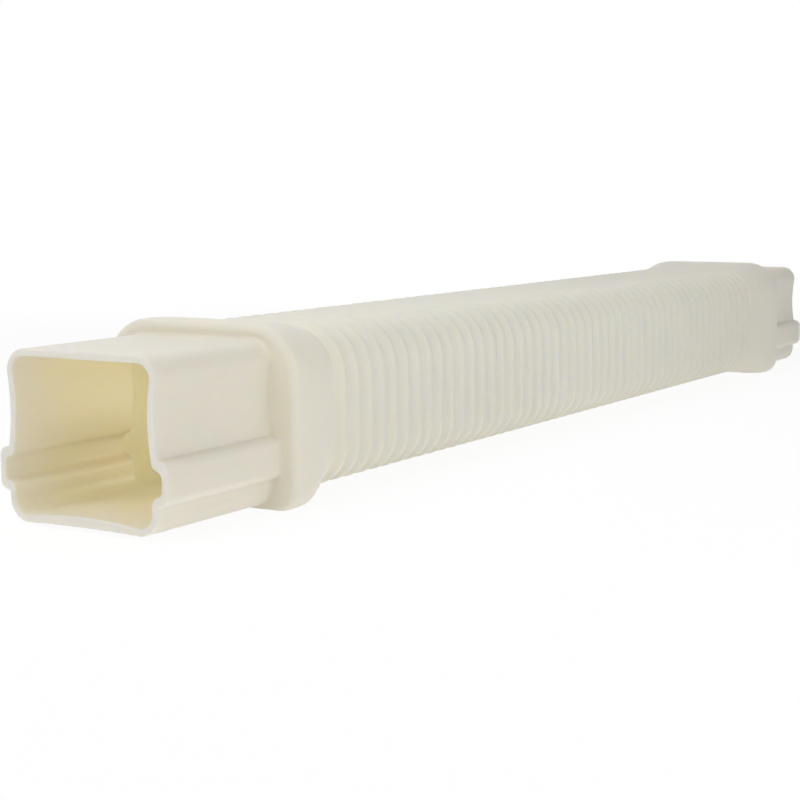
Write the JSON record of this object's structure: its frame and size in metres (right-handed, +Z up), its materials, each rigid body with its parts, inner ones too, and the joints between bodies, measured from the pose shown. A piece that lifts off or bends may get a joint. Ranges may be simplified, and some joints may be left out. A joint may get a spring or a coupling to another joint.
{
  "type": "flexible downspout extension",
  "caption": "Flexible rectangular duct blown in one piece: ribbed bellows between two stepped collars, each with a plain spigot that plugs into a pipe or trunking.",
  "frame": {"origin": "mid-length, midway between the sides, on the surface that the two collars rest on", "axes": "+X along the duct from mouth to mouth, +Y across it, +Z up"},
  "size_m": [0.8, 0.1078, 0.0826],
  "materials": {
    "ivory_plastic": "satin ivory moulded plastic"
  },
  "bodies": {
    "root": {"flexible_duct": "ivory_plastic"}
  },
  "joints": []
}
